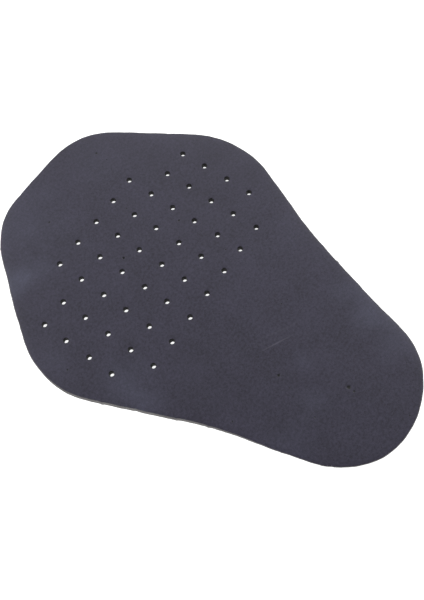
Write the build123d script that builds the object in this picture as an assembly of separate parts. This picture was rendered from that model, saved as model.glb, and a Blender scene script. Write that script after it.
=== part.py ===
from build123d import *
import math
import os

# Back protector insert: a flat sheet of shock-absorbing foam that slides into the back
# pocket of a riding jacket. Two foam plies are bonded face to face with a thin adhesive
# film, and the outline and every vent hole are punched through all three at once.
#
# Frame: X across the back, +Y towards the neck, +Z away from the wearer's back.
# The origin is the middle of the outline's box, on the face that lies against the back.

# Thicknesses, from the wearer outwards (mm)
INNER_PLY = 2.75
BONDING_FILM = 0.25
OUTER_PLY = 4.0

# Outline (mm). The corners are where the straight sides would meet before rounding.
LENGTH = 400.0
NECK_CORNER_X = 59.0
NECK_RADIUS = 64.0
SHOULDER_CORNER = (146.0, 73.0)
SHOULDER_RADIUS = 82.0
WAIST_CORNER = (90.0, -63.0)
WAIST_RADIUS = 420.0
TAIL_RADIUS = 71.0

# The knife pulls the foam's skin over a little, all round both outer faces (mm).
RIM_RADIUS = 0.6

# Vent holes (mm): a grid centred across the sheet, its rows a little closer together than
# its columns, with this many holes in each row from the neck.
VENT_DIAMETER = 4.5
VENT_COLUMN_PITCH = 25.2
VENT_ROW_PITCH = 24.4
VENT_ROWS = (5, 9, 9, 9, 9, 7)
FIRST_ROW_FROM_NECK = 72.5


def tail_tangent_point():
    """Where the straight side from the waist corner meets the tail's round end."""
    centre_y = TAIL_RADIUS - LENGTH / 2
    dx = WAIST_CORNER[0]
    dy = WAIST_CORNER[1] - centre_y
    corner_direction = math.atan2(dy, dx)
    spread = math.acos(TAIL_RADIUS / math.hypot(dx, dy))
    angle = corner_direction - spread
    return (TAIL_RADIUS * math.cos(angle), centre_y + TAIL_RADIUS * math.sin(angle))


def outline():
    """The die-cut shape: straight neck edge, sloping shoulders, long taper, round tail."""
    neck_y = LENGTH / 2
    tail_x, tail_y = tail_tangent_point()
    right_side = [(NECK_CORNER_X, neck_y), SHOULDER_CORNER, WAIST_CORNER, (tail_x, tail_y)]
    left_side = [(-x, y) for x, y in reversed(right_side)]
    with BuildSketch() as sketch:
        with BuildLine():
            Polyline(*left_side, *right_side)
            ThreePointArc((tail_x, tail_y), (0, -neck_y), (-tail_x, tail_y))
        make_face()
        for corner_x, corner_y, radius in (
            (NECK_CORNER_X, neck_y, NECK_RADIUS),
            (*SHOULDER_CORNER, SHOULDER_RADIUS),
            (*WAIST_CORNER, WAIST_RADIUS),
        ):
            pair = [
                vertex
                for vertex in sketch.vertices()
                if math.isclose(abs(vertex.X), corner_x, abs_tol=0.01)
                and math.isclose(vertex.Y, corner_y, abs_tol=0.01)
            ]
            fillet(pair, radius)
    return sketch.sketch


def vent_holes():
    """Every vent hole as a disc, row by row from the neck."""
    centres = []
    for row, count in enumerate(VENT_ROWS):
        y = LENGTH / 2 - FIRST_ROW_FROM_NECK - row * VENT_ROW_PITCH
        for column in range(count):
            x = (column - (count - 1) / 2) * VENT_COLUMN_PITCH
            centres.append((x, y))
    return Sketch() + [Pos(x, y) * Circle(VENT_DIAMETER / 2) for x, y in centres]


def punched_sheet(bottom, thickness):
    """One layer of the sandwich, cut to the outline and punched with the vent holes."""
    return Pos(0, 0, bottom) * extrude(outline() - vent_holes(), thickness)


def with_rolled_rim(layer, z):
    """Round the outer edge of the face at height z, but leave the vent holes sharp."""
    face = layer.faces().filter_by(Axis.Z).sort_by(lambda one: abs(one.center().Z - z))[0]
    return fillet(face.outer_wire().edges(), RIM_RADIUS)


def inner_foam_ply():
    """The softer ply that lies against the wearer's back."""
    return with_rolled_rim(punched_sheet(0.0, INNER_PLY), 0.0)


def bonding_film():
    """The adhesive film that holds the two plies together."""
    return punched_sheet(INNER_PLY, BONDING_FILM)


def outer_foam_ply():
    """The firmer ply that faces outwards."""
    bottom = INNER_PLY + BONDING_FILM
    return with_rolled_rim(punched_sheet(bottom, OUTER_PLY), bottom + OUTER_PLY)


os.makedirs("parts", exist_ok=True)
for name, make in (
    ("inner_foam_ply", inner_foam_ply),
    ("bonding_film", bonding_film),
    ("outer_foam_ply", outer_foam_ply),
):
    solid = make()
    export_step(solid, f"parts/{name}.step")
    box = solid.bounding_box()
    print(name, "size", box.size, "from", box.min)
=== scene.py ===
import math

import bpy
import numpy as np
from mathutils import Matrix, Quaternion, Vector
from mathutils.geometry import delaunay_2d_cdt


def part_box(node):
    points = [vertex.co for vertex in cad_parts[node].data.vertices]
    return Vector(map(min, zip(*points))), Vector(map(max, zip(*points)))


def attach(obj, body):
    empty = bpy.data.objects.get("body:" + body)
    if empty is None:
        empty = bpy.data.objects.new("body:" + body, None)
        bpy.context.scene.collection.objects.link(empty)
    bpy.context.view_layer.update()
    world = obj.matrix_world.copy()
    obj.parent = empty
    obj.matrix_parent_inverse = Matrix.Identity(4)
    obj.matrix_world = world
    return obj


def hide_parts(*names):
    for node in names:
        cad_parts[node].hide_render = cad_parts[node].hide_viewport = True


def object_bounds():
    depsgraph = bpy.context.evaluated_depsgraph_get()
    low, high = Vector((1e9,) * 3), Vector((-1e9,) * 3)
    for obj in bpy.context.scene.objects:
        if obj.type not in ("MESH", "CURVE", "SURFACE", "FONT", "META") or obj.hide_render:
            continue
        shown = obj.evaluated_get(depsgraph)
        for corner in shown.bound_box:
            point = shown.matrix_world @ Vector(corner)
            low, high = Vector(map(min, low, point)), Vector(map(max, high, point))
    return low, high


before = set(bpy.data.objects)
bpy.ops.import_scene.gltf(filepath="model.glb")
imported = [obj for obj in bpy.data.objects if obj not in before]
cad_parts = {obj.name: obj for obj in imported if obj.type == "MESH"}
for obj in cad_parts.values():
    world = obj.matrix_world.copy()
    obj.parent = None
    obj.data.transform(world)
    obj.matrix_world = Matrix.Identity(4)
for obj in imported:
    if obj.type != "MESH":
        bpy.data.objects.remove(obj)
cad_low, cad_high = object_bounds()

# Back protector insert: two plies of foam, taken to be closed-cell, bonded face to face, with
# the same outline and vent holes. It lies flat on a table, body side down, seen from high
# above the left side of its tail.

MM = 0.001

# ----------------------------------------------------------------------------------------
# Camera: a long lens high over the left side of the tail, a little tilted, so that the
# sheet lies across the view with its neck end to the upper left.
# ----------------------------------------------------------------------------------------

AIM_TOWARDS_TAIL = 1.8 * MM
AZIMUTH = math.radians(-46.2)
ELEVATION = math.radians(69.5)
ROLL = math.radians(-8.8)
CAMERA_DISTANCE = 857 * MM
LENS_MM = 60
SENSOR_MM = 36

aim = Vector(((cad_low.x + cad_high.x) / 2, (cad_low.y + cad_high.y) / 2, cad_high.z))
aim.y -= AIM_TOWARDS_TAIL
towards_camera = Vector((
    math.sin(AZIMUTH) * math.cos(ELEVATION),
    -math.cos(AZIMUTH) * math.cos(ELEVATION),
    math.sin(ELEVATION),
))
lens = bpy.data.cameras.new("camera")
lens.lens = LENS_MM
lens.sensor_width = SENSOR_MM
camera = bpy.data.objects.new("camera", lens)
camera.location = aim + towards_camera * CAMERA_DISTANCE
camera.rotation_mode = "QUATERNION"
level = (-towards_camera).to_track_quat("-Z", "Y")
camera.rotation_quaternion = level @ Quaternion((0, 0, 1), ROLL)
bpy.context.collection.objects.link(camera)
bpy.context.scene.camera = camera

# ----------------------------------------------------------------------------------------
# Inner foam ply: the thinner ply, which lies against the wearer's back. It is taken to be
# closed-cell foam split from a block, with fine open cells on its face. Its cut wall waists
# in a little.
# ----------------------------------------------------------------------------------------

inner_low, inner_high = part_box("inner_foam_ply")
LENGTH = inner_high.y - inner_low.y

# The outline: where the straight sides would meet, and how far each is rounded.
NECK_CORNER = (59 * MM, LENGTH / 2)
NECK_RADIUS = 64 * MM
SHOULDER_CORNER = (146 * MM, 73 * MM)
SHOULDER_RADIUS = 82 * MM
WAIST_CORNER = (90 * MM, -63 * MM)
WAIST_RADIUS = 420 * MM
TAIL_RADIUS = 71 * MM
OUTLINE_STEP = 1.2 * MM

# The vents, in rows from the neck, and how far one is off its place at random.
VENT_RADIUS = 2.25 * MM
VENT_COLUMN_PITCH = 25.2 * MM
VENT_ROW_PITCH = 24.4 * MM
VENT_ROWS = (5, 9, 9, 9, 9, 7)
FIRST_ROW_FROM_NECK = 72.5 * MM
VENT_SCATTER = 0.3 * MM
VENT_SIDES = 28
# The grid isn't exact: how far all of it is off the middle, and how far it bows and skews at
# a whole REACH from its own middle, as (across, along). These were fitted.
REACH = 100 * MM
OFF_MIDDLE = (2.3 * MM, -0.5 * MM)
BOW = (-2.0 * MM, 0.6 * MM)
SKEW = (-2.2 * MM, -1.9 * MM)
# The vents aren't quite upright: how far the foot of one is off its mouth, as (across,
# along), for a whole REACH towards the neck. This was fitted too.
LEAN = (0.2 * MM, 0.7 * MM)

# The cut doesn't keep exactly to that outline. It stands a little outside it all round, and
# strays out and in by a sum of waves: (waves all the way round, millimetres, start). The
# waves up to 11, the tags and the nicks were fitted by a program, and then rounded.
STANDS_OUT = 0.3 * MM
CUT_WAVES = (
    (1, 0.45, 0.55), (2, 0.3, 0.8), (3, 1.1, 0.54), (4, 0.45, 0.62), (7, 0.4, 0.2),
    (8, 0.35, 0.28), (9, 0.4, 0.3), (11, 0.4, 0.27), (23, 0.1, 0.0), (47, 0.07, 0.3),
    (89, 0.04, 0.6),
)
# Short tags (out) and nicks (in): (share of the way round, half width, how far).
TAGS_AND_NICKS = (
    (0.045, 1.2 * MM, 0.45 * MM),
    (0.218, 1.6 * MM, 0.50 * MM),
    (0.246, 1.5 * MM, -0.35 * MM),
    (0.279, 1.2 * MM, 0.40 * MM),
    (0.305, 1.8 * MM, 0.50 * MM),
    (0.405, 1.8 * MM, -0.40 * MM),
    (0.640, 1.4 * MM, 0.45 * MM),
    (0.840, 1.5 * MM, -0.35 * MM),
)
# How rough the cut cells leave a wall.
RAGGED_CUT = 0.05 * MM
# Down the left side of the tail the cut slopes under, so that the outer face overhangs:
# (share of the way round, half width, how far).
OVERHANG = (0.391, 78 * MM, 1.5 * MM)

# The finishes that a layer's faces have, as material slots. Glued faces are out of sight, so
# they take the edge's. The skin rolls over the rim down to this share of the height.
SKIN, EDGE, VENT, GLUED = 0, 1, 2, 3
SKIN_ROLLS_DOWN_TO = 0.985
# The rings of points that carry the dish round a vent, in vent radii, and the bowl of a
# bubble, as (bubble radii, points). Beyond the last one the lattice takes over.
VENT_RINGS = (1.8, 2.4)
BUBBLE_RINGS = ((0.3, 6), (0.6, 10), (0.85, 12), (1.15, 12), (1.6, 10))
# How near the lattice comes to the cut, and to the outermost ring of each, in its spacings.
GAP_AT_CUT, GAP_AT_VENT, GAP_AT_BUBBLE = 0.75, 0.5, 0.4

rng = np.random.default_rng(48)


def rounded_corner(before, corner, after, radius, steps=60):
    """The arc that touches both sides of a corner. Its centre lies on the bisector, radius /
    sin(half the angle) away, and it runs between the points where the sides are tangent."""
    before, corner, after = (np.array(point, float) for point in (before, corner, after))
    back = (before - corner) / np.linalg.norm(before - corner)
    ahead = (after - corner) / np.linalg.norm(after - corner)
    half_angle = math.acos(float(back @ ahead)) / 2
    bisector = (back + ahead) / np.linalg.norm(back + ahead)
    centre = corner + bisector * radius / math.sin(half_angle)
    touches = corner + np.vstack((back, ahead)) * radius / math.tan(half_angle)
    start, end = np.arctan2(*(touches - centre).T[::-1])
    turn = (end - start + math.pi) % (2 * math.pi) - math.pi
    angles = start + turn * np.linspace(0, 1, steps)
    return centre + radius * np.column_stack((np.cos(angles), np.sin(angles)))


def evenly_spaced(loop, step):
    """The closed loop's points, moved along it to equal steps of about the given length."""
    closed = np.vstack((loop, loop[:1]))
    reach = np.concatenate(([0], np.cumsum(np.linalg.norm(np.diff(closed, axis=0), axis=1))))
    wanted = np.linspace(0, reach[-1], round(reach[-1] / step), endpoint=False)
    return np.column_stack([np.interp(wanted, reach, closed[:, axis]) for axis in (0, 1)])


def knife_outline():
    """Half the outline is a neck edge, a shoulder, a waist and a quarter turn of tail, joined
    by arcs, and the other half mirrors it. Seen from above, it runs anticlockwise."""
    tail_centre = np.array((0, TAIL_RADIUS - LENGTH / 2))
    from_tail = np.array(WAIST_CORNER) - tail_centre
    spread = math.acos(TAIL_RADIUS / np.linalg.norm(from_tail))
    first = math.atan2(from_tail[1], from_tail[0]) - spread
    angles = np.linspace(first, -math.pi / 2, 90)
    tail = tail_centre + TAIL_RADIUS * np.column_stack((np.cos(angles), np.sin(angles)))
    opposite = (-NECK_CORNER[0], NECK_CORNER[1])
    right_side = np.vstack((
        rounded_corner(opposite, NECK_CORNER, SHOULDER_CORNER, NECK_RADIUS),
        rounded_corner(NECK_CORNER, SHOULDER_CORNER, WAIST_CORNER, SHOULDER_RADIUS),
        rounded_corner(SHOULDER_CORNER, WAIST_CORNER, tail[0], WAIST_RADIUS),
        tail,
    ))
    left_side = right_side[::-1][1:] * (-1, 1)
    clockwise = np.vstack((right_side, left_side))
    return evenly_spaced(clockwise[::-1], OUTLINE_STEP)


def outward_normals(loop):
    """The unit normal at each point of an anticlockwise loop: its tangent, turned right."""
    tangent = np.roll(loop, -1, axis=0) - np.roll(loop, 1, axis=0)
    normal = np.column_stack((tangent[:, 1], -tangent[:, 0]))
    return normal / np.linalg.norm(normal, axis=1)[:, None]


def bell(count, place, half_width, size):
    """A bell curve all the way round: its size at its place, and gone a few widths off."""
    away = ((np.arange(count) / count - place + 0.5) % 1 - 0.5) * count * OUTLINE_STEP
    return size * np.exp(-((away / half_width) ** 2))


def cut_wander(count):
    """How far the cut strays from the outline, out or in, all the way round: a constant, a
    sum of sines with whole numbers of waves, and a bell curve for each tag or nick."""
    around = np.arange(count) / count
    stray = STANDS_OUT + sum(bell(count, *one) for one in TAGS_AND_NICKS)
    for waves, size, start in CUT_WAVES:
        stray = stray + size * MM * np.sin(2 * math.pi * (waves * around + start))
    return stray


def vent_grid():
    """The centre of each vent, row by row from the neck: a regular grid, moved by a constant,
    by the square of the distance across and by the product of both distances, and then each
    vent a little off its place at random."""
    rows = []
    for row, count in enumerate(VENT_ROWS):
        across = (np.arange(count) - (count - 1) / 2) * VENT_COLUMN_PITCH
        along = LENGTH / 2 - FIRST_ROW_FROM_NECK - row * VENT_ROW_PITCH
        rows.append(np.column_stack((across, np.full(count, along))))
    grid = np.vstack(rows)
    x = grid[:, :1] / REACH
    y = (grid[:, 1:] - grid[:, 1:].mean()) / REACH
    grid = grid + np.array(OFF_MIDDLE) + np.array(BOW) * x**2 + np.array(SKEW) * x * y
    return grid + rng.normal(0, VENT_SCATTER, grid.shape)


knife_line = knife_outline()
outward = outward_normals(knife_line)
knife_line = knife_line + outward * cut_wander(len(knife_line))[:, None]
outward = outward_normals(knife_line)
overhang = bell(len(knife_line), *OVERHANG)
vents = vent_grid()


def vents_at(z):
    """The middle of each vent at height z: it leans in proportion to the depth below the
    outer face, and to how far the vent is towards the neck from the middle of them all."""
    towards_neck = (vents[:, 1:] - vents[:, 1:].mean()) / REACH
    return vents + np.array(LEAN) * towards_neck * (1 - z / cad_high.z)


def cut_line(z, inset):
    """The cut at height z: the outline's line moved out by the overhang, in proportion to the
    height, and in by the inset."""
    share = z / cad_high.z
    return knife_line + outward * (overhang * share - inset)[:, None]


def ring(centre, radius, sides, turn=0.0):
    """A circle of points, clockwise seen from above."""
    angles = turn - np.arange(sides) * 2 * math.pi / sides
    return centre + np.column_stack((np.cos(angles), np.sin(angles))) * radius


def nearest_cut(points):
    """Each point's distance from the nearest point of the outline, above zero inside,
    and the way that the cut faces there."""
    depths, facing = [], []
    for block in np.array_split(points, 1 + len(points) // 2000):
        offsets = block[:, None] - knife_line[None]
        squared = (offsets**2).sum(axis=-1)
        nearest = squared.argmin(axis=1)
        rows = np.arange(len(block))
        side = -(offsets[rows, nearest] * outward[nearest]).sum(axis=-1)
        depths.append(np.copysign(np.sqrt(squared[rows, nearest]), side))
        facing.append(outward[nearest])
    return np.concatenate(depths), np.concatenate(facing)


def from_nearest_vent(points):
    """Each point's distance from the middle of the nearest vent."""
    offsets = points[:, None] - vents[None]
    return np.sqrt((offsets**2).sum(axis=-1)).min(axis=1)


def triangular_lattice(spacing):
    """Points at the corners of equal triangles, all over the outline's box."""
    rows = np.arange(inner_low.y, inner_high.y, spacing * math.sqrt(3) / 2)
    columns = np.arange(inner_low.x, inner_high.x, spacing)
    x, y = np.meshgrid(columns, rows)
    x = x + (np.arange(len(rows)) % 2)[:, None] * spacing / 2
    return np.column_stack((x.ravel(), y.ravel()))


def face_pattern(edge_loop, vent_loops, spacing, pits):
    """The flat triangles of a punched face, between the edge loop, the vent loops, rings
    round each vent and pit, and a lattice over what is left. The first points are the edge
    loop's and then each vent loop's, in their order."""
    rings = []
    for centre in vents:
        rings += [ring(centre, VENT_RADIUS * size, VENT_SIDES // 2) for size in VENT_RINGS]
    lattice = triangular_lattice(spacing)
    clear = nearest_cut(lattice)[0] > spacing * GAP_AT_CUT
    clear &= from_nearest_vent(lattice) > VENT_RADIUS * VENT_RINGS[-1] + spacing * GAP_AT_VENT
    for x, y, radius, depth in pits:
        rings.append(np.array([[x, y]]))
        for share, sides in BUBBLE_RINGS:
            rings.append(ring(np.array((x, y)), radius * share, sides, share))
        gap = radius * BUBBLE_RINGS[-1][0] + spacing * GAP_AT_BUBBLE
        clear &= np.hypot(lattice[:, 0] - x, lattice[:, 1] - y) > gap
    loops = [edge_loop, *vent_loops]
    points = np.vstack((*loops, *rings, lattice[clear]))
    loop_of = np.full(len(points), -1)
    sides, first = [], 0
    for number, loop in enumerate(loops):
        index = first + np.arange(len(loop))
        loop_of[index] = number
        sides.append(np.column_stack((index, np.roll(index, -1))))
        first += len(loop)
    found = delaunay_2d_cdt(
        [Vector(point) for point in points / MM], np.vstack(sides).tolist(), [], 1, 1e-7
    )
    home = np.array([origins[0] for origins in found[3]])
    triangles = home[np.array(found[2])]
    loops_met = loop_of[triangles]
    over_a_vent = (loops_met[:, 0] > 0) & (np.ptp(loops_met, axis=1) == 0)
    return points, triangles[~over_a_vent]


def cell_noise(rows, size):
    """Rough cut cells: random numbers, averaged over neighbours along the cut."""
    noise = rng.normal(0, 1, (rows, size))
    return (noise + np.roll(noise, 1, axis=1) + np.roll(noise, -1, axis=1)) / 2


def layer_mesh(name, glued_z, skin_z, edge_profile, vent_profile, spacing, relief, pits=()):
    """One punched layer as a closed mesh. The flat pattern makes its skin face and its glued
    face, and strips carry the edge profile round the outline and the vent profile round each
    vent, down along its lean. A profile's points are (how far in from the cut, or for a vent
    how far out from the pin; share of the height), from the skin face down to the glued face.
    relief(points) is how far the skin face stands above its plane."""
    side = 1 if skin_z > glued_z else -1
    edge_loop = cut_line(skin_z, edge_profile[0][0])
    widest = VENT_RADIUS + vent_profile[0][0]
    vent_loops = [ring(centre, widest, VENT_SIDES) for centre in vents_at(skin_z)]
    pattern, triangles = face_pattern(edge_loop, vent_loops, spacing, pits)
    height = abs(skin_z - glued_z) + relief(pattern)
    count = len(pattern)
    glued = np.column_stack((pattern, np.zeros(count)))
    points = [np.column_stack((pattern, height)), glued]
    faces = [triangles, triangles[:, ::-1] + count]
    finish = [np.full(len(triangles), SKIN), np.full(len(triangles), GLUED)]
    first, total = 0, 2 * count
    cuts = [(None, edge_profile, EDGE)]
    cuts += [(vent, vent_profile, VENT) for vent in range(len(vents))]
    for vent, profile, cut in cuts:
        size = len(knife_line) if vent is None else VENT_SIDES
        top = first + np.arange(size)
        rows = [top]
        rough = cell_noise(len(profile), size) * RAGGED_CUT
        for step, (inset, share) in enumerate(profile[1:], start=1):
            if vent is None:
                flat = cut_line(glued_z + side * height[top] * share, inset + rough[step])
            else:
                centre = vents_at(glued_z + (skin_z - glued_z) * share)[vent]
                flat = ring(centre, (VENT_RADIUS + inset + rough[step])[:, None], size)
            if share > 0:
                points.append(np.column_stack((flat, height[top] * share)))
                rows.append(total + np.arange(size))
                total += size
        glued[top, :2] = flat
        rows.append(top + count)
        for step, (upper, lower) in enumerate(zip(rows, rows[1:]), start=1):
            quads = (upper, lower, np.roll(lower, -1), np.roll(upper, -1))
            faces.append(np.column_stack(quads))
            rolled = profile[step][1] > SKIN_ROLLS_DOWN_TO
            finish.append(np.full(size, SKIN if rolled else cut))
        first += size
    points, finish = np.vstack(points), np.concatenate(finish)
    points[:, 2] = glued_z + side * points[:, 2]
    mesh = bpy.data.meshes.new(name)
    outwards = [face for block in faces for face in block[:, ::side].tolist()]
    mesh.from_pydata(points.tolist(), [], outwards)
    mesh.attributes.new("sharp_face", "BOOLEAN", "FACE")
    mesh.attributes["sharp_face"].data.foreach_set("value", finish == GLUED)
    mesh.polygons.foreach_set("material_index", np.where(finish == GLUED, EDGE, finish))
    mesh.update()
    return mesh


def laid_on_sheet(name, mesh, node, slot, *materials):
    """The finished layer: it takes the CAD node's place and rides with the whole sheet."""
    piece = bpy.data.objects.new(name, mesh)
    bpy.context.collection.objects.link(piece)
    for material in materials:
        mesh.materials.append(material)
    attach(piece, "root")
    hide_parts(node)
    return piece


def put(tree, kind, inputs=None, **settings):
    """A shader node with its settings, and each named input set or linked."""
    made = tree.nodes.new(kind)
    for name, value in settings.items():
        setattr(made, name, value)
    for name, value in (inputs or {}).items():
        if isinstance(value, bpy.types.NodeSocket):
            tree.links.new(value, made.inputs[name])
        else:
            made.inputs[name].default_value = value
    return made


def new_group(name, inputs, outputs):
    """An empty node group with named number inputs and outputs, and its two end nodes."""
    tree = bpy.data.node_groups.new(name, "ShaderNodeTree")
    for socket, default in inputs.items():
        made = tree.interface.new_socket(socket, in_out="INPUT", socket_type="NodeSocketFloat")
        made.default_value = default
    for socket in outputs:
        tree.interface.new_socket(socket, in_out="OUTPUT", socket_type="NodeSocketFloat")
    return tree, tree.nodes.new("NodeGroupInput"), tree.nodes.new("NodeGroupOutput")


# A fleck of the speckle is about three cells wide, so this much of one fits in a cell.
SPECKS_PER_CELL = 0.35
# Each cell has a random number from 0 to 1, and broke if it is above this. A broken cell is a
# pore: how dark its painted shade is beside the foam, and how deep beside the cells' height.
BROKEN_ABOVE = 0.4
PORE_SHADE = 0.35
PORE_DEPTH = 0.8
# How much rougher or smoother than the rest a fleck is.
FLECK_ROUGHNESS = 0.06


def foam_cells_group():
    """Closed-cell foam: soft clouds of density, a fine speckle, the cells themselves as a
    height that falls towards each cell's middle, and the pores where a few cells broke."""
    tree, given, result = new_group(
        "foam_cells", {"Cell Size": 0.0004, "Cloud Size": 0.04},
        ("Clouds", "Speckle", "Cells", "Pores"),
    )
    place = put(tree, "ShaderNodeTexCoord").outputs["Object"]
    per_cell = put(tree, "ShaderNodeMath", {0: 1.0, 1: given.outputs["Cell Size"]},
                   operation="DIVIDE").outputs[0]
    per_cloud = put(tree, "ShaderNodeMath", {0: 1.0, 1: given.outputs["Cloud Size"]},
                    operation="DIVIDE").outputs[0]
    per_speck = put(tree, "ShaderNodeMath", {0: per_cell, 1: SPECKS_PER_CELL},
                    operation="MULTIPLY").outputs[0]
    clouds = put(tree, "ShaderNodeTexNoise",
                 {"Vector": place, "Scale": per_cloud, "Detail": 3.0, "Roughness": 0.55})
    speckle = put(tree, "ShaderNodeTexNoise",
                  {"Vector": place, "Scale": per_speck, "Detail": 3.0, "Roughness": 0.7})
    cells = put(tree, "ShaderNodeTexVoronoi", {"Vector": place, "Scale": per_cell})
    middle = put(tree, "ShaderNodeMapRange", {
        "Value": cells.outputs["Distance"], "From Min": 0.14, "From Max": 0.32,
        "To Min": 1.0, "To Max": 0.0,
    }, interpolation_type="SMOOTHSTEP")
    chance = put(tree, "ShaderNodeSeparateColor", {"Color": cells.outputs["Color"]})
    broken = put(tree, "ShaderNodeMath", {0: chance.outputs[0], 1: BROKEN_ABOVE},
                 operation="GREATER_THAN")
    pores = put(tree, "ShaderNodeMath", {0: middle.outputs[0], 1: broken.outputs[0]},
                operation="MULTIPLY")
    tree.links.new(clouds.outputs["Fac"], result.inputs["Clouds"])
    tree.links.new(speckle.outputs["Fac"], result.inputs["Speckle"])
    tree.links.new(cells.outputs["Distance"], result.inputs["Cells"])
    tree.links.new(pores.outputs[0], result.inputs["Pores"])
    return tree


foam_cells = foam_cells_group()


def foam_material(name, dark, light, cell, cloud, bump, rough, grain, marks=None):
    """Foam: its colour goes from dark to light with the clouds and the speckle, and its cells
    and specks stand a little proud. The grain is (the speckle's share of the pattern, how
    far either side of its mean the pattern reaches full dark and full light). marks(tree,
    colour) may add marks to the colour."""
    speckle_share, spread = grain
    material = bpy.data.materials.new(name)
    material.use_nodes = True
    tree = material.node_tree
    shader = tree.nodes["Principled BSDF"]
    cells = put(tree, "ShaderNodeGroup", node_tree=foam_cells)
    cells.inputs["Cell Size"].default_value = cell
    cells.inputs["Cloud Size"].default_value = cloud
    blend = put(tree, "ShaderNodeMix", {
        0: speckle_share, 2: cells.outputs["Clouds"], 3: cells.outputs["Speckle"],
    }, data_type="FLOAT")
    tone = put(tree, "ShaderNodeMapRange", {
        "Value": blend.outputs[0], "From Min": 0.5 - spread, "From Max": 0.5 + spread,
    })
    colour = put(tree, "ShaderNodeMix", {
        0: tone.outputs[0], 6: (*dark, 1), 7: (*light, 1),
    }, data_type="RGBA").outputs[2]
    # Painted shade: the pores are painted darker than the foam round them.
    shaded = [PORE_SHADE * channel for channel in dark]
    colour = put(tree, "ShaderNodeMix", {
        0: cells.outputs["Pores"], 6: colour, 7: (*shaded, 1),
    }, data_type="RGBA").outputs[2]
    if marks:
        colour = marks(tree, colour)
    tree.links.new(colour, shader.inputs["Base Color"])
    roughness = put(tree, "ShaderNodeMapRange", {
        "Value": cells.outputs["Speckle"], "From Min": 0.3, "From Max": 0.7,
        "To Min": rough - FLECK_ROUGHNESS, "To Max": rough + FLECK_ROUGHNESS,
    })
    tree.links.new(roughness.outputs[0], shader.inputs["Roughness"])
    relief = put(tree, "ShaderNodeMix", {
        0: 0.5, 2: cells.outputs["Cells"], 3: cells.outputs["Speckle"],
    }, data_type="FLOAT")
    pitted = put(tree, "ShaderNodeMath", {
        0: cells.outputs["Pores"], 1: -PORE_DEPTH, 2: relief.outputs[0],
    }, operation="MULTIPLY_ADD")
    bumped = put(tree, "ShaderNodeBump", {
        "Height": pitted.outputs[0], "Strength": 1.0, "Distance": bump,
    })
    tree.links.new(bumped.outputs[0], shader.inputs["Normal"])
    return material


split_foam = foam_material(
    "split_foam", (0.030, 0.029, 0.034), (0.048, 0.046, 0.055),
    cell=0.7 * MM, cloud=30 * MM, bump=0.12 * MM, rough=0.8, grain=(0.5, 0.12),
)
cut_foam = foam_material(
    "cut_foam", (0.115, 0.110, 0.110), (0.21, 0.203, 0.202),
    cell=0.6 * MM, cloud=12 * MM, bump=0.15 * MM, rough=0.85, grain=(0.6, 0.15),
)
# The vent walls are painted nearly black: painted shade for the dark inside of each vent.
vent_painted_shade_foam = foam_material(
    "vent_painted_shade_foam", (0.0015, 0.0015, 0.002), (0.005, 0.005, 0.006),
    cell=0.8 * MM, cloud=6 * MM, bump=0.05 * MM, rough=0.7, grain=(0.3, 0.2),
)

# The cut wall stands out just below its lip and waists in under that, and a vent widens a
# little below its lip.
INNER_EDGE = (
    (0.7 * MM, 1.0), (0.4 * MM, 0.985), (0.18 * MM, 0.94), (0.05 * MM, 0.87), (0.02 * MM, 0.78),
    (0.16 * MM, 0.6), (0.22 * MM, 0.45), (0.2 * MM, 0.3), (0.12 * MM, 0.14), (0.5 * MM, 0.0),
)
INNER_VENT = (
    (0.4 * MM, 1.0), (0.15 * MM, 0.985), (-0.05 * MM, 0.94), (-0.12 * MM, 0.85),
    (-0.26 * MM, 0.5), (-0.26 * MM, 0.25), (-0.2 * MM, 0.0),
)
INNER_LATTICE = 3.2 * MM
# Round each vent, and at the cut: (how far the face lifts, how wide the lift is).
LIFT_AT_VENT = (0.12 * MM, 1.4 * MM)
LIFT_AT_CUT = (0.1 * MM, 2 * MM)


def split_face_relief(points):
    """The face is flat where it lies down. It lifts by a bell curve round each vent, and by
    an exponential of the depth from the cut."""
    vent_lift, vent_width = LIFT_AT_VENT
    cut_lift, cut_width = LIFT_AT_CUT
    round_vent = np.exp(-(((from_nearest_vent(points) - VENT_RADIUS) / vent_width) ** 2))
    at_cut = np.exp(-nearest_cut(points)[0] / cut_width)
    return -vent_lift * round_vent - cut_lift * at_cut


inner_ply = laid_on_sheet(
    "inner_ply",
    layer_mesh(
        "inner_ply", inner_high.z, inner_low.z, INNER_EDGE, INNER_VENT, INNER_LATTICE,
        split_face_relief,
    ),
    "inner_foam_ply", "inner_foam", split_foam, cut_foam, vent_painted_shade_foam,
)

# ----------------------------------------------------------------------------------------
# Bonding film: taken to be the hot-melt adhesive that holds the plies together. Only its rim
# shows, as a dark line set a little behind the foam on both sides of it.
# ----------------------------------------------------------------------------------------

film_low, film_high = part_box("bonding_film")
FILM_RIM = (
    (0.3 * MM, 1.0), (0.18 * MM, 0.75), (0.14 * MM, 0.45), (0.2 * MM, 0.15), (0.3 * MM, 0.0),
)
FILM_VENT = ((-0.1 * MM, 1.0), (-0.15 * MM, 0.7), (-0.15 * MM, 0.3), (-0.1 * MM, 0.0))
FILM_LATTICE = 14 * MM
SMEARS_PER_METRE = 400.0
THICK_ADHESIVE = (0.010, 0.010, 0.011, 1)
THIN_ADHESIVE = (0.028, 0.027, 0.029, 1)


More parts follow.
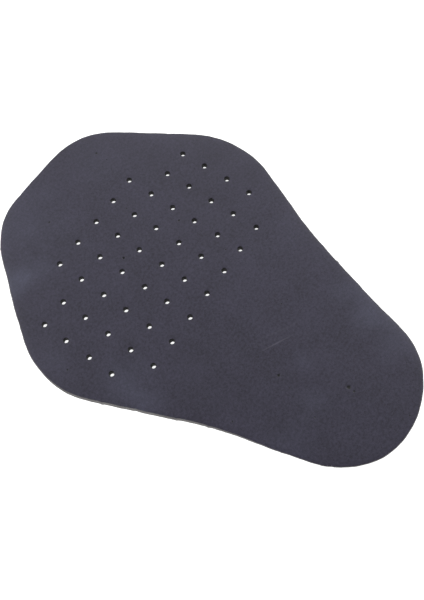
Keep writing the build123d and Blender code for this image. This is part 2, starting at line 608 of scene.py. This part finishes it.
def hot_melt_material():
    """A dull dark adhesive, a little paler and rougher in patches."""
    material = bpy.data.materials.new("hot_melt")
    material.use_nodes = True
    tree = material.node_tree
    shader = tree.nodes["Principled BSDF"]
    place = put(tree, "ShaderNodeTexCoord").outputs["Object"]
    smear = put(tree, "ShaderNodeTexNoise",
                {"Vector": place, "Scale": SMEARS_PER_METRE, "Detail": 2.0})
    colour = put(tree, "ShaderNodeMix", {
        0: smear.outputs["Fac"], 6: THICK_ADHESIVE, 7: THIN_ADHESIVE,
    }, data_type="RGBA")
    rough = put(tree, "ShaderNodeMapRange", {
        "Value": smear.outputs["Fac"], "To Min": 0.35, "To Max": 0.65,
    })
    tree.links.new(colour.outputs[2], shader.inputs["Base Color"])
    tree.links.new(rough.outputs[0], shader.inputs["Roughness"])
    return material


hot_melt = hot_melt_material()
laid_on_sheet(
    "adhesive_film",
    layer_mesh(
        "adhesive_film", film_low.z, film_high.z, FILM_RIM, FILM_VENT, FILM_LATTICE,
        lambda points: np.zeros(len(points)),
    ),
    "bonding_film", "adhesive", hot_melt, hot_melt, hot_melt,
)

# ----------------------------------------------------------------------------------------
# Outer foam ply: the thicker ply that shows, of closed-cell foam. Its face has a fine skin,
# with a few dimples made here as burst bubbles, darkened inside with painted shade, patches of
# painted highlight and a scuff. The skin rolls over at every cut.
# ----------------------------------------------------------------------------------------

outer_low, outer_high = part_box("outer_foam_ply")
# The wall of the cut waists in below its rolled lip, and closes in to a groove at the film.
OUTER_EDGE = (
    (0.7 * MM, 1.0), (0.45 * MM, 0.98), (0.22 * MM, 0.94), (0.08 * MM, 0.89), (0.01 * MM, 0.82),
    (0.0, 0.74), (0.1 * MM, 0.62), (0.2 * MM, 0.5), (0.24 * MM, 0.36), (0.2 * MM, 0.22),
    (0.14 * MM, 0.1), (0.5 * MM, 0.0),
)
OUTER_VENT = (
    (0.5 * MM, 1.0), (0.28 * MM, 0.99), (0.12 * MM, 0.965), (0.03 * MM, 0.93), (0.0, 0.88),
    (-0.1 * MM, 0.65), (-0.18 * MM, 0.4), (-0.2 * MM, 0.2), (-0.15 * MM, 0.0),
)
OUTER_LATTICE = 2 * MM
# Burst bubbles that show: (across, along, radius, depth).
BURST_BUBBLES = [
    (1.5 * MM, -139.5 * MM, 2.2 * MM, 1.3 * MM),
    (1.0 * MM, -145.0 * MM, 1.1 * MM, 0.6 * MM),
    (-22.9 * MM, -86.3 * MM, 1.5 * MM, 1.2 * MM),
    (-11.7 * MM, 85.0 * MM, 1.4 * MM, 1.2 * MM),
    (44.5 * MM, 66.0 * MM, 1.2 * MM, 0.7 * MM),
    (-120.0 * MM, 62.5 * MM, 1.0 * MM, 0.6 * MM),
    (56.5 * MM, 168.5 * MM, 1.3 * MM, 0.5 * MM),
    (-22.0 * MM, 161.0 * MM, 1.1 * MM, 0.5 * MM),
    (-35.5 * MM, -130.5 * MM, 0.7 * MM, 0.4 * MM),
    (9.5 * MM, -193.0 * MM, 0.7 * MM, 0.4 * MM),
]
# Small bubbles: how many, out of how many tries, their least and greatest radius in
# millimetres, and their depth as a share of the radius.
SMALL_BUBBLES = 18
TRIES = 400
SMALL_RADII = (0.45, 0.75)
SMALL_DEPTH = 0.5
# How far a small bubble keeps from the edge, from a vent and from a larger bubble.
EDGE_MARGIN = 8 * MM
VENT_MARGIN = 7 * MM
BUBBLE_MARGIN = 8 * MM


def small_bubbles():
    """A few shallow bubbles anywhere on the face, away from the vents and the edge."""
    tries = rng.uniform((inner_low.x, inner_low.y), (inner_high.x, inner_high.y), (TRIES, 2))
    free = (nearest_cut(tries)[0] > EDGE_MARGIN) & (from_nearest_vent(tries) > VENT_MARGIN)
    for x, y, radius, depth in BURST_BUBBLES:
        free &= np.hypot(tries[:, 0] - x, tries[:, 1] - y) > BUBBLE_MARGIN
    places = tries[free][:SMALL_BUBBLES]
    radii = rng.uniform(*SMALL_RADII, len(places)) * MM
    return [(x, y, radius, radius * SMALL_DEPTH) for (x, y), radius in zip(places, radii)]


bubbles = BURST_BUBBLES + small_bubbles()


def burst_bubble(points, x, y, radius):
    """How deep a point is in a bubble, from 0 at its rim to 1 at its middle: the square of one
    less the squared distance in radii."""
    share = np.hypot(points[:, 0] - x, points[:, 1] - y) / radius
    return np.clip(1 - share**2, 0, 1) ** 2


# The skin's slow swell and its quicker one. They stay below the face, by both heights added.
SLOW_SWELL = 0.10 * MM
QUICK_SWELL = 0.07 * MM
# Round each vent: (how deep the dish is, how wide).
DISH = (0.15 * MM, 1.6 * MM)
# How the face falls away to the edge, close to it and further in: (how far, how wide).
DROOPS = ((0.75 * MM, 2.5 * MM), (0.7 * MM, 9 * MM))
# The edges that face this way droop most: by the mean share plus the swing, and on the
# opposite side by the mean less the swing.
DROOPS_TOWARDS = (0.6, 0.8)
DROOP_MEAN, DROOP_SWING = 0.6, 0.4


def skin_relief(points):
    """The skin swells and sinks by products of sines, dishes by a bell curve round each vent,
    droops to the edge by exponentials of the depth from the cut, most where the edge faces
    DROOPS_TOWARDS, and falls into each burst bubble."""
    x, y = points.T
    depth, facing = nearest_cut(points)
    depth = np.maximum(depth, 0)
    slow = np.sin(x / (21 * MM) + 1.0) * np.sin(y / (27 * MM) + 0.4)
    quick = np.sin((x + y) / (13 * MM) + 2.2) * np.sin((x - 1.4 * y) / (17 * MM))
    dish_depth, dish_width = DISH
    dish = np.exp(-(((from_nearest_vent(points) - VENT_RADIUS) / dish_width) ** 2))
    droop = sum(fall * np.exp(-depth / width) for fall, width in DROOPS)
    relief = SLOW_SWELL * (slow - 1) + QUICK_SWELL * (quick - 1)
    relief -= dish_depth * dish + droop * (DROOP_MEAN + DROOP_SWING * (facing @ DROOPS_TOWARDS))
    for x, y, radius, sunk in bubbles:
        relief -= sunk * burst_bubble(points, x, y, radius)
    return relief


def scuff_group():
    """A straight rub mark: full along its middle line, and gone a width to either side and
    past its ends."""
    tree, given, result = new_group(
        "scuff", {"Across": 0.0, "Along": 0.0, "Angle": 0.0, "Length": 0.03, "Width": 0.001},
        ("Mark",),
    )
    place = put(tree, "ShaderNodeTexCoord").outputs["Object"]
    middle = put(tree, "ShaderNodeCombineXYZ", {
        "X": given.outputs["Across"], "Y": given.outputs["Along"],
    })
    offset = put(tree, "ShaderNodeVectorMath", {0: place, 1: middle.outputs[0]},
                 operation="SUBTRACT")
    turned = put(tree, "ShaderNodeVectorRotate", {
        "Vector": offset.outputs[0], "Angle": given.outputs["Angle"],
    }, rotation_type="Z_AXIS")
    parts = put(tree, "ShaderNodeSeparateXYZ", {0: turned.outputs[0]})
    faded = []
    for axis, size in (("X", "Length"), ("Y", "Width")):
        away = put(tree, "ShaderNodeMath", {0: parts.outputs[axis]}, operation="ABSOLUTE")
        share = put(tree, "ShaderNodeMath", {0: away.outputs[0], 1: given.outputs[size]},
                    operation="DIVIDE")
        faded.append(put(tree, "ShaderNodeMapRange", {
            "Value": share.outputs[0], "From Min": 0.0, "From Max": 1.0,
            "To Min": 1.0, "To Max": 0.0,
        }, interpolation_type="SMOOTHSTEP").outputs[0])
    mark = put(tree, "ShaderNodeMath", {0: faded[0], 1: faded[1]}, operation="MULTIPLY")
    tree.links.new(mark.outputs[0], result.inputs["Mark"])
    return tree


scuff = scuff_group()
SCUFF_TINT = (0.09, 0.09, 0.10)
# Rub marks: (across, along, angle, half length, half width, strength).
SCUFFS = (
    (-1 * MM, -69 * MM, math.radians(-27), 20 * MM, 0.9 * MM, 0.38),
    (5 * MM, -62 * MM, math.radians(-30), 30 * MM, 1.5 * MM, 0.06),
    (-6 * MM, -61 * MM, math.radians(-35), 34 * MM, 2.0 * MM, 0.05),
    (14 * MM, -68 * MM, math.radians(-24), 26 * MM, 1.8 * MM, 0.04),
)
# A patch of painted highlight has a ragged edge: noise of this many waves a metre, by this much
# of a radius, between where the patch starts to fade and where it is gone.
PAINTED_SHEEN_CLOUDS = 40.0
PAINTED_SHEEN_RAGGED = 1.2
PAINTED_SHEEN_FADES, PAINTED_SHEEN_GONE = 0.3, 1.7


def painted_sheen_group():
    """A cloudy patch of painted highlight, fading with distance in radii plus noise on an S-curve.
    """
    tree, given, result = new_group(
        "painted_sheen", {"Across": 0.0, "Along": 0.0, "Radius": 0.03}, ("Mark",),
    )
    place = put(tree, "ShaderNodeTexCoord").outputs["Object"]
    middle = put(tree, "ShaderNodeCombineXYZ", {
        "X": given.outputs["Across"], "Y": given.outputs["Along"],
    })
    away = put(tree, "ShaderNodeVectorMath", {0: place, 1: middle.outputs[0]},
               operation="DISTANCE")
    share = put(tree, "ShaderNodeMath", {0: away.outputs["Value"], 1: given.outputs["Radius"]},
                operation="DIVIDE")
    cloud = put(tree, "ShaderNodeTexNoise", {"Vector": place, "Scale": PAINTED_SHEEN_CLOUDS, "Detail": 3.0})
    ragged = put(tree, "ShaderNodeMath", {
        0: cloud.outputs["Fac"], 1: PAINTED_SHEEN_RAGGED, 2: share.outputs[0],
    }, operation="MULTIPLY_ADD")
    mark = put(tree, "ShaderNodeMapRange", {
        "Value": ragged.outputs[0], "From Min": PAINTED_SHEEN_FADES, "From Max": PAINTED_SHEEN_GONE,
        "To Min": 1.0, "To Max": 0.0,
    }, interpolation_type="SMOOTHSTEP")
    tree.links.new(mark.outputs[0], result.inputs["Mark"])
    return tree


painted_sheen = painted_sheen_group()
# The colour added for a painted highlight: pale and bluish.
PAINTED_SHEEN_TINT = (0.038, 0.043, 0.062)
# Patches of painted highlight, pale and bluish, on the skin: (across, along, radius, strength).
PAINTED_SHEEN_PATCHES = (
    (-82 * MM, 152 * MM, 24 * MM, 0.85),
    (-66 * MM, 144 * MM, 24 * MM, 0.45),
    (-36 * MM, 172 * MM, 56 * MM, 0.28),
    (48 * MM, 164 * MM, 30 * MM, 0.15),
    (-118 * MM, 78 * MM, 22 * MM, 0.35),
    (-100 * MM, 16 * MM, 30 * MM, 0.45),
    (-106 * MM, -12 * MM, 26 * MM, 0.55),
    (-74 * MM, -130 * MM, 34 * MM, 0.25),
    (72 * MM, -94 * MM, 22 * MM, 0.45),
    (66 * MM, -122 * MM, 28 * MM, 0.6),
    (58 * MM, -148 * MM, 26 * MM, 0.5),
    (0 * MM, -96 * MM, 18 * MM, 0.36),
    (-26 * MM, -125 * MM, 20 * MM, 0.38),
    (94 * MM, -24 * MM, 26 * MM, 0.12),
)


def marked(tree, colour, group, values, strength, added):
    """The colour, with the mark's own added as strongly as the group's mask says, so that the
    grain still shows through the mark."""
    mark = put(tree, "ShaderNodeGroup", node_tree=group)
    for socket, value in zip(mark.inputs, values):
        socket.default_value = value
    share = put(tree, "ShaderNodeMath", {0: mark.outputs[0], 1: strength}, operation="MULTIPLY")
    return put(tree, "ShaderNodeMix", {
        0: share.outputs[0], 6: colour, 7: (*added, 1),
    }, data_type="RGBA", blend_type="ADD").outputs[2]


# A burst bubble's painted shade: its dark colour, and the share of its depth from which it is
# all that colour.
BUBBLE_PAINTED_SHADE = (0.006, 0.006, 0.007, 1)
DARK_FROM_DEPTH = 0.4


def skin_marks(tree, colour):
    """Painted highlights and scuffs lighten the skin; painted shade darkens the burst bubbles."""
    for *place, strength in PAINTED_SHEEN_PATCHES:
        colour = marked(tree, colour, painted_sheen, place, strength, PAINTED_SHEEN_TINT)
    for across, along, angle, length, width, strength in SCUFFS:
        place = (across, along, -angle, length, width)
        colour = marked(tree, colour, scuff, place, strength, SCUFF_TINT)
    # Painted shade in the burst bubbles, as dark as the mask kept on the mesh.
    sunk = put(tree, "ShaderNodeAttribute", attribute_name="painted_bubble_shade").outputs["Fac"]
    return put(tree, "ShaderNodeMix", {
        0: sunk, 6: colour, 7: BUBBLE_PAINTED_SHADE,
    }, data_type="RGBA").outputs[2]


skinned_foam = foam_material(
    "skinned_foam", (0.017, 0.0145, 0.0275), (0.0415, 0.0375, 0.0655),
    cell=0.75 * MM, cloud=30 * MM, bump=0.04 * MM, rough=0.55, grain=(0.75, 0.15),
    marks=skin_marks,
)
outer_mesh = layer_mesh(
    "outer_ply", outer_low.z, outer_high.z, OUTER_EDGE, OUTER_VENT, OUTER_LATTICE,
    skin_relief, bubbles,
)
corners = np.empty(len(outer_mesh.vertices) * 3)
outer_mesh.vertices.foreach_get("co", corners)
corners = corners.reshape(-1, 3)
# Painted shade: how dark each point is painted, by how deep it sits in a burst bubble.
in_bubble = sum(burst_bubble(corners, x, y, radius) for x, y, radius, sunk in bubbles)
bubble_painted_shade = np.minimum(in_bubble / DARK_FROM_DEPTH, 1)
outer_mesh.attributes.new("painted_bubble_shade", "FLOAT", "POINT")
outer_mesh.attributes["painted_bubble_shade"].data.foreach_set("value", bubble_painted_shade)
outer_ply = laid_on_sheet(
    "outer_ply", outer_mesh, "outer_foam_ply", "outer_foam",
    skinned_foam, cut_foam, vent_painted_shade_foam,
)

# ----------------------------------------------------------------------------------------
# Table and lights: a pale table lit from within, so that the vents show light, and four
# softboxes: three beyond the sheet, which catch the edges that roll away towards them, and a
# wide low one on the camera's side, which lights the cut edge.
# ----------------------------------------------------------------------------------------

TABLE_HALF = 4.0
TABLE_GAP = 0.2 * MM
TABLE_COLOUR = (0.6, 0.6, 0.6, 1)
TABLE_GLOW = 1.0
STUDIO_GLOW = 0.25
COOL_WHITE = (0.97, 0.98, 1.0)
PLAIN_WHITE = (1.0, 1.0, 1.0)
# (name, azimuth, elevation, distance, size, power, colour), in degrees, metres and watts.
SOFTBOXES = (
    ("far_softbox", 128, 38, 1.1, 0.8, 3.8, COOL_WHITE),
    ("right_softbox", 70, 30, 1.1, 0.7, 6.4, COOL_WHITE),
    ("neck_softbox", -160, 30, 1.1, 0.7, 6.0, COOL_WHITE),
    ("front_softbox", -50, 22, 1.6, 1.0, 7.5, PLAIN_WHITE),
)


def light_table():
    """A flat square, pale and faintly glowing, just under the sheet."""
    half = TABLE_HALF
    low = cad_low.z - TABLE_GAP
    mesh = bpy.data.meshes.new("table")
    mesh.from_pydata(
        [(-half, -half, low), (half, -half, low), (half, half, low), (-half, half, low)],
        [], [(0, 1, 2, 3)],
    )
    material = bpy.data.materials.new("table")
    material.use_nodes = True
    shader = material.node_tree.nodes["Principled BSDF"]
    shader.inputs["Base Color"].default_value = TABLE_COLOUR
    shader.inputs["Roughness"].default_value = 0.9
    shader.inputs["Emission Color"].default_value = (*PLAIN_WHITE, 1)
    shader.inputs["Emission Strength"].default_value = TABLE_GLOW
    mesh.materials.append(material)
    table = bpy.data.objects.new("table", mesh)
    bpy.context.collection.objects.link(table)


def soft_light(name, azimuth, elevation, distance, size, power, colour):
    """A square softbox on a sphere round the sheet, facing its middle."""
    a, e = math.radians(azimuth), math.radians(elevation)
    away = Vector((math.sin(a) * math.cos(e), -math.cos(a) * math.cos(e), math.sin(e)))
    data = bpy.data.lights.new(name, "AREA")
    data.shape = "SQUARE"
    data.size = size
    data.energy = power
    data.color = colour
    light = bpy.data.objects.new(name, data)
    light.location = aim + away * distance
    light.rotation_mode = "QUATERNION"
    light.rotation_quaternion = (-away).to_track_quat("-Z", "Y")
    bpy.context.collection.objects.link(light)


light_table()
for softbox in SOFTBOXES:
    soft_light(*softbox)
world = bpy.data.worlds.new("studio")
world.use_nodes = True
background = world.node_tree.nodes["Background"]
background.inputs["Color"].default_value = (*PLAIN_WHITE, 1)
background.inputs["Strength"].default_value = STUDIO_GLOW
bpy.context.scene.world = world
bpy.context.scene.view_settings.view_transform = "Standard"
